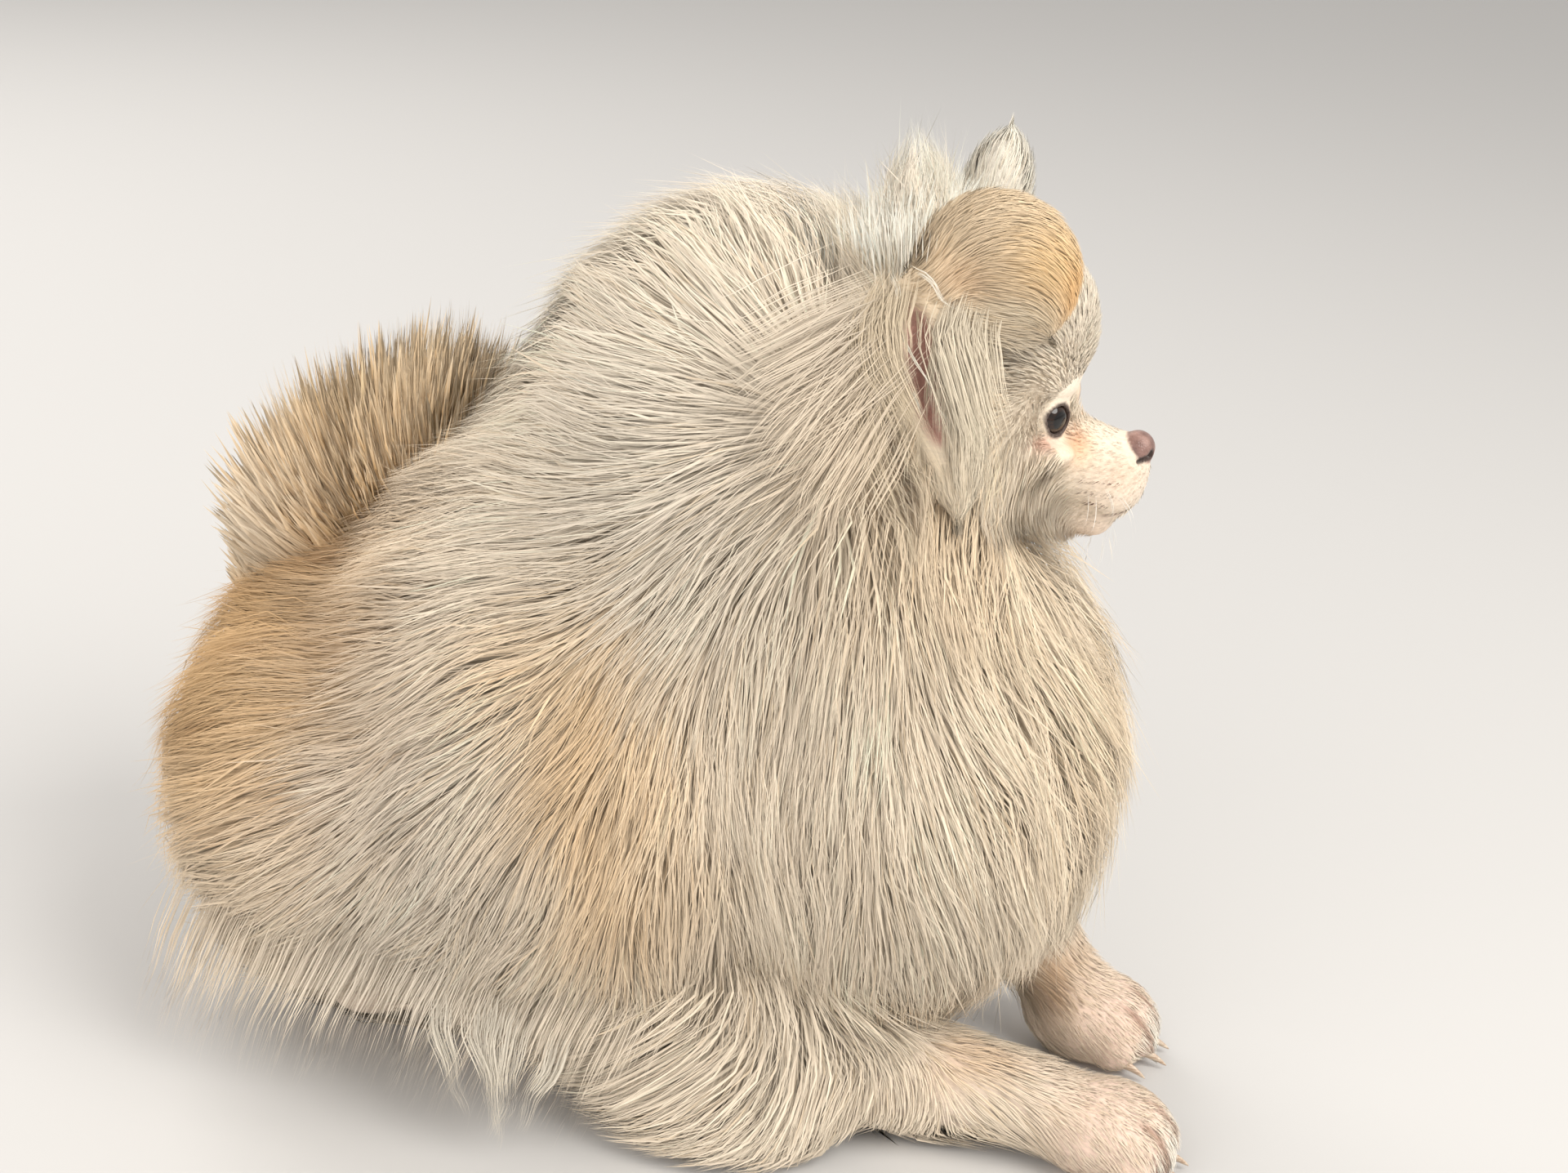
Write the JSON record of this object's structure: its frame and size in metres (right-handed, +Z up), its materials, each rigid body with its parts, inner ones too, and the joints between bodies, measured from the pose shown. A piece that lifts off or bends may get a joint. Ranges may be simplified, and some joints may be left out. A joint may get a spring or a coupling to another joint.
{
  "type": "pomeranian dog, lying",
  "caption": "Life-size still model of a fluffy cream pomeranian lying on its belly with forelegs stretched forward, head up and plumed tail over its back.",
  "frame": {"origin": "centre of the footprint box on the floor", "axes": "+X towards the nose, +Y to the dog's left, +Z up"},
  "size_m": [0.377, 0.2236, 0.3274],
  "materials": {
    "coat": "long, fine, soft cream hair",
    "tail_coat": "standing apricot plume with pale tips",
    "paw_coat": "short cream hair over pinkish skin",
    "nose_leather": "pebbled pinkish-brown nose leather, moist",
    "eye": "wet, dark brown eye",
    "claw": "pale horn"
  },
  "bodies": {
    "root": {"head": "coat", "muzzle": "coat", "lower_jaw": "coat", "ear_left": "coat", "ear_right": "coat", "neck": "coat", "chest": "coat", "shoulders": "coat", "barrel": "coat", "hindquarters": "coat", "hindleg_right": "coat", "hindleg_left": "coat", "foreleg_right": "coat", "foreleg_left": "coat", "tail": "tail_coat", "forepaw_right": "paw_coat", "forepaw_left": "paw_coat", "nose": "nose_leather", "eye_right": "eye", "eye_left": "eye", "claw_right_1": "claw", "claw_right_2": "claw", "claw_right_3": "claw", "claw_right_4": "claw", "claw_left_1": "claw", "claw_left_2": "claw", "claw_left_3": "claw", "claw_left_4": "claw"}
  },
  "joints": []
}
